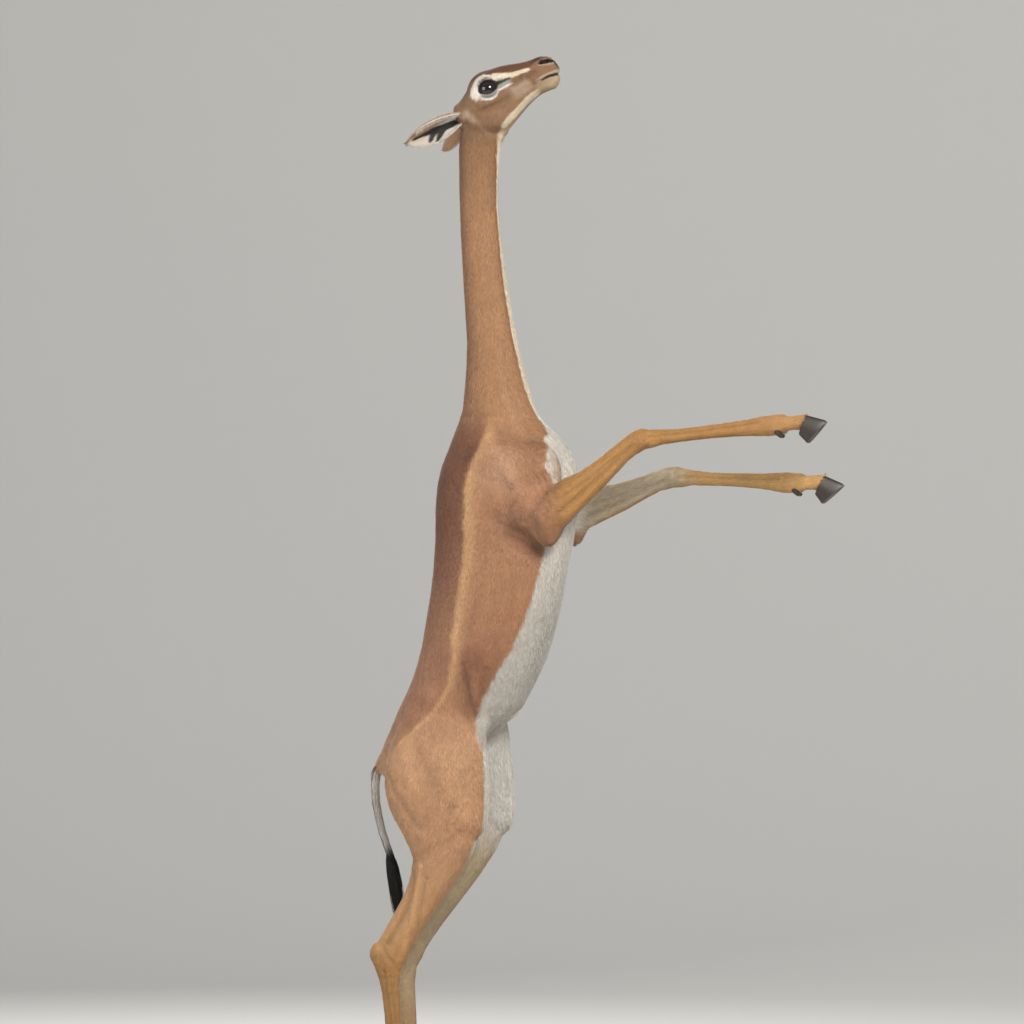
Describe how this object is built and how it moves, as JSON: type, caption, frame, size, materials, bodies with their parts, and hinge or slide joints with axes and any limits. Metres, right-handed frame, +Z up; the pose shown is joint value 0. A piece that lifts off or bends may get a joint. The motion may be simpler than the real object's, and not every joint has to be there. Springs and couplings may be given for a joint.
{
  "type": "gerenuk model",
  "caption": "Life-size still model of a female gerenuk reared upright on its hind legs, forelegs stretched forward and head raised to browse, on a low base.",
  "frame": {"origin": "middle of the flat underside of the base", "axes": "+X the way the animal faces, +Y to its left, +Z up"},
  "size_m": [1.1376, 0.5, 2.22],
  "materials": {
    "coat": "short flat fur, matt",
    "black_hair": "long coarse hair",
    "eye": "polished, wet",
    "horn": "dull horn",
    "oak": "oiled, satin"
  },
  "bodies": {
    "root": {"head": "coat", "ear_right": "coat", "ear_left": "coat", "neck": "coat", "chest": "coat", "belly": "coat", "rump": "coat", "tail": "coat", "hind_leg_upper_right": "coat", "hind_leg_upper_left": "coat", "hind_leg_lower_right": "coat", "hind_leg_lower_left": "coat", "foreleg_upper_right": "coat", "foreleg_upper_left": "coat", "foreleg_lower_right": "coat", "foreleg_lower_left": "coat", "tail_tuft": "black_hair", "eye_right": "eye", "eye_left": "eye", "hoof_hind_right_a": "horn", "dewclaw_hind_right_a": "horn", "hoof_hind_right_b": "horn", "dewclaw_hind_right_b": "horn", "hoof_hind_left_a": "horn", "dewclaw_hind_left_a": "horn", "hoof_hind_left_b": "horn", "dewclaw_hind_left_b": "horn", "hoof_fore_right_a": "horn", "dewclaw_fore_right_a": "horn", "hoof_fore_right_b": "horn", "dewclaw_fore_right_b": "horn", "hoof_fore_left_a": "horn", "dewclaw_fore_left_a": "horn", "hoof_fore_left_b": "horn", "dewclaw_fore_left_b": "horn", "stand_base": "oak"}
  },
  "joints": []
}
